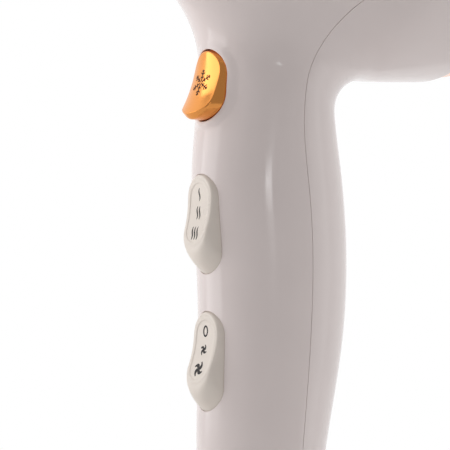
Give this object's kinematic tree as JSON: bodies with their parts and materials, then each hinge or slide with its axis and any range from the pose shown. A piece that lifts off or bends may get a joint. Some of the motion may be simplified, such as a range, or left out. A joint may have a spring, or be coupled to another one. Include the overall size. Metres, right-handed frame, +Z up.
{
  "type": "hair dryer",
  "caption": "Pistol-grip hair dryer with a slim nozzle, wide intake bell, copper trim ring, cool-shot button and two rockers.",
  "frame": {"origin": "centre of the outlet collar's front face, on the barrel axis", "axes": "+X is the way the air leaves, +Z is up away from the handle, +Y is across the barrel"},
  "size_m": [0.197, 0.087, 0.2332],
  "materials": {
    "shell_white": "moulded gloss white plastic",
    "ivory_cap": "moulded satin ivory plastic",
    "copper_plate": "polished copper-coloured plating on plastic",
    "grille_grey": "moulded matt dark grey plastic",
    "heat_black": "heat-resistant black plastic",
    "inner_plastic": "moulded plain grey plastic",
    "switch_black": "black switch plastic",
    "steel": "plain steel",
    "zinc_steel": "zinc-plated steel",
    "brass_pins": "tinned brass",
    "bronze_bush": "sintered bronze",
    "magnet": "ferrite",
    "winding": "enamelled copper on a steel stack",
    "carbon": "carbon",
    "damper": "soft rubber",
    "mica": "pressed mica sheet",
    "nichrome": "drawn resistance wire",
    "board_green": "glass-epoxy board",
    "mesh_steel": "fine steel mesh"
  },
  "bodies": {
    "dryer_body": {"main_shell": "shell_white", "handle_back_cover": "shell_white", "cover_screws": "zinc_steel", "outlet_collar": "heat_black", "outlet_grille": "heat_black", "rear_trim_ring": "copper_plate", "cord_inlet_collar": "shell_white", "cable_clamp": "inner_plastic", "clamp_screws": "zinc_steel", "terminal_block": "inner_plastic", "switch_carrier": "inner_plastic", "heat_switch_body": "switch_black", "speed_switch_body": "switch_black", "switch_terminals": "brass_pins", "rocker_pins": "steel", "cool_shot_spring": "steel", "cool_shot_microswitch": "switch_black", "fan_duct": "grille_grey", "motor_can": "zinc_steel", "motor_end_cap": "inner_plastic", "motor_magnets": "magnet", "front_bush": "bronze_bush", "rear_bush": "bronze_bush", "carbon_brushes": "carbon", "damper_rings": "damper", "rectifier_board": "board_green", "rectifier_diodes": "switch_black", "mica_tube": "mica", "mica_boards": "mica", "heating_coil": "nichrome", "thermostat": "brass_pins", "thermal_fuse": "zinc_steel"},
    "heat_rocker": {"heat_rocker_cap": "ivory_cap"},
    "speed_rocker": {"speed_rocker_cap": "ivory_cap"},
    "cool_shot": {"cool_shot_button": "copper_plate"},
    "rotor": {"fan": "heat_black", "motor_shaft": "steel", "armature": "winding"},
    "intake_guard": {"rear_grille": "grille_grey", "intake_mesh": "mesh_steel"}
  },
  "joints": [
    {"name": "heat_rocker_tilt", "type": "hinge", "parent": "dryer_body", "child": "heat_rocker", "pos_m": [-0.11827, 0, -0.08832], "axis": [0, 1, 0], "range_deg": [0, 20]},
    {"name": "speed_rocker_tilt", "type": "hinge", "parent": "dryer_body", "child": "speed_rocker", "pos_m": [-0.12437, 0, -0.12432], "axis": [0, 1, 0], "range_deg": [0, 20]},
    {"name": "cool_shot_press", "type": "slide", "parent": "dryer_body", "child": "cool_shot", "axis": [-0.9903, 0, 0.1392], "range_m": [0, 0.0024], "stiffness_N_per_m": 400, "springref_m": -0.002, "deforming": ["cool_shot_spring"]},
    {"name": "fan_spin", "type": "hinge", "parent": "dryer_body", "child": "rotor", "pos_m": [-0.149, 0, 0], "axis": [1, 0, 0], "continuous": true},
    {"name": "intake_guard_pull", "type": "slide", "parent": "dryer_body", "child": "intake_guard", "axis": [-1, 0, 0], "range_m": [0, 0.03]}
  ]
}
